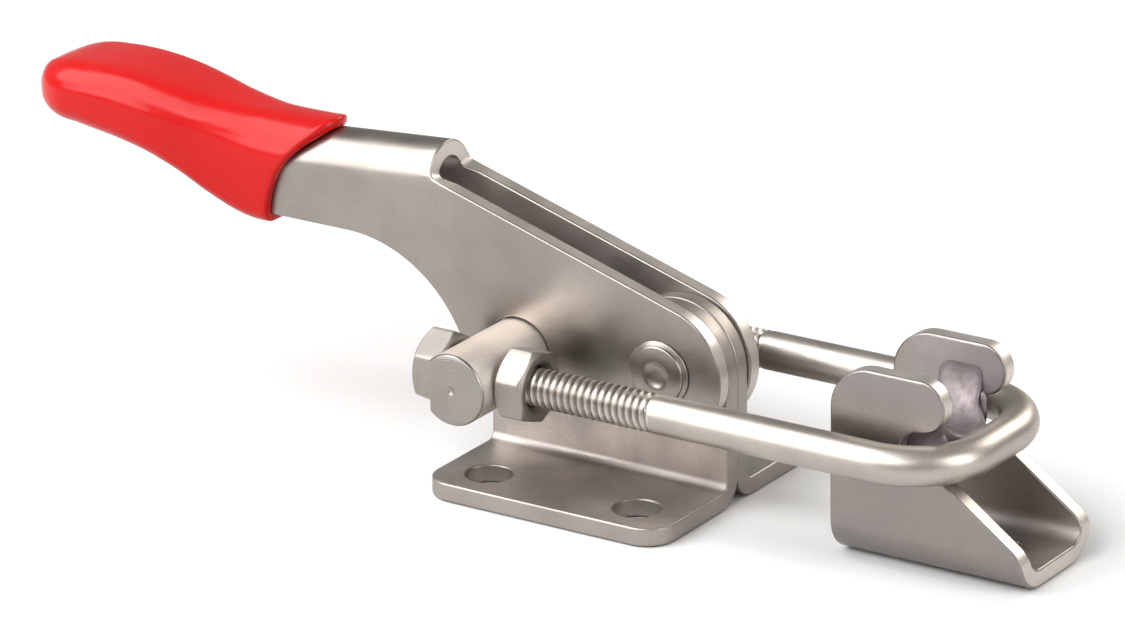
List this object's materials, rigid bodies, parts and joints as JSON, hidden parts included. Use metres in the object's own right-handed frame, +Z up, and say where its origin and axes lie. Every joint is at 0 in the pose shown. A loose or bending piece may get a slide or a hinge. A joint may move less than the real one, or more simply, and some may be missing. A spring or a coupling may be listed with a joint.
{
  "type": "toggle bolt latch",
  "caption": "Pull-action toggle clamp with an adjustable U-bolt that hooks over a separate welded latch plate, with a vinyl-dipped handle.",
  "frame": {"origin": "centre of the base's four mounting holes, on the mounting surface", "axes": "+X from the base towards the latch plate, +Y across the base to the back leg of the U-bolt, +Z up from the mounting surface"},
  "size_m": [0.1908, 0.05, 0.0542],
  "materials": {
    "plate_steel": "satin, tumbled",
    "rivet_steel": "satin",
    "handle_steel": "satin, tumbled",
    "grip_vinyl": "dipped, glossy, smooth",
    "turned_steel": "turned, satin",
    "rod_steel": "drawn, smooth, with a rolled thread",
    "nut_steel": "machined, bright",
    "latch_steel": "satin, tumbled",
    "weld_steel": "welded, heat tinted"
  },
  "bodies": {
    "base": {"base_plate_front": "plate_steel", "base_plate_back": "plate_steel", "pivot_rivet": "rivet_steel"},
    "handle": {"handle_channel": "handle_steel", "handle_grip": "grip_vinyl"},
    "trunnion_bar": {"trunnion": "turned_steel"},
    "threaded_bow": {"u_bolt": "rod_steel"},
    "front_inner_nut": {"nut_front_inner": "nut_steel"},
    "front_outer_nut": {"nut_front_outer": "nut_steel"},
    "back_inner_nut": {"nut_back_inner": "nut_steel"},
    "back_outer_nut": {"nut_back_outer": "nut_steel"},
    "latch": {"latch_plate": "latch_steel", "hook_saddle": "weld_steel"}
  },
  "joints": [
    {"name": "handle_pivot", "type": "hinge", "parent": "base", "child": "handle", "pos_m": [0.0115, 0, 0.0216], "axis": [0, 1, 0], "range_deg": [0, 110]},
    {"name": "trunnion_swing", "type": "hinge", "parent": "handle", "child": "trunnion_bar", "pos_m": [-0.0152, 0, 0.0196], "axis": [0, 1, 0], "range_deg": [-80, 0]},
    {"name": "front_inner_nut_turn", "type": "hinge", "parent": "trunnion_bar", "child": "front_inner_nut", "pos_m": [-0.0066, -0.01645, 0.0196], "axis": [1, 0, 0], "range_deg": [0, 2700]},
    {"name": "front_outer_nut_turn", "type": "hinge", "parent": "trunnion_bar", "child": "front_outer_nut", "pos_m": [-0.0222, -0.01645, 0.0196], "axis": [1, 0, 0], "range_deg": [0, 2700]},
    {"name": "back_inner_nut_turn", "type": "hinge", "parent": "trunnion_bar", "child": "back_inner_nut", "pos_m": [-0.0066, 0.01645, 0.0196], "axis": [1, 0, 0], "range_deg": [0, 2700]},
    {"name": "back_outer_nut_turn", "type": "hinge", "parent": "trunnion_bar", "child": "back_outer_nut", "pos_m": [-0.0222, 0.01645, 0.0196], "axis": [1, 0, 0], "range_deg": [0, 2700]},
    {"name": "u_bolt_slide", "type": "slide", "parent": "trunnion_bar", "child": "threaded_bow", "axis": [1, 0, 0], "range_m": [-0.0095, 0]},
    {"name": "latch_slide", "type": "slide", "parent": "base", "child": "latch", "axis": [1, 0, 0], "range_m": [-0.0096, 0]}
  ],
  "couplings": [
    {"joint": "trunnion_swing", "follows": "handle_pivot", "ratio": -0.72},
    {"joint": "front_inner_nut_turn", "follows": "u_bolt_slide", "rad_per_m": -4947.4},
    {"joint": "front_outer_nut_turn", "follows": "u_bolt_slide", "rad_per_m": -4947.4},
    {"joint": "back_inner_nut_turn", "follows": "u_bolt_slide", "rad_per_m": -4947.4},
    {"joint": "back_outer_nut_turn", "follows": "u_bolt_slide", "rad_per_m": -4947.4},
    {"joint": "latch_slide", "follows": "u_bolt_slide", "ratio": 1}
  ]
}
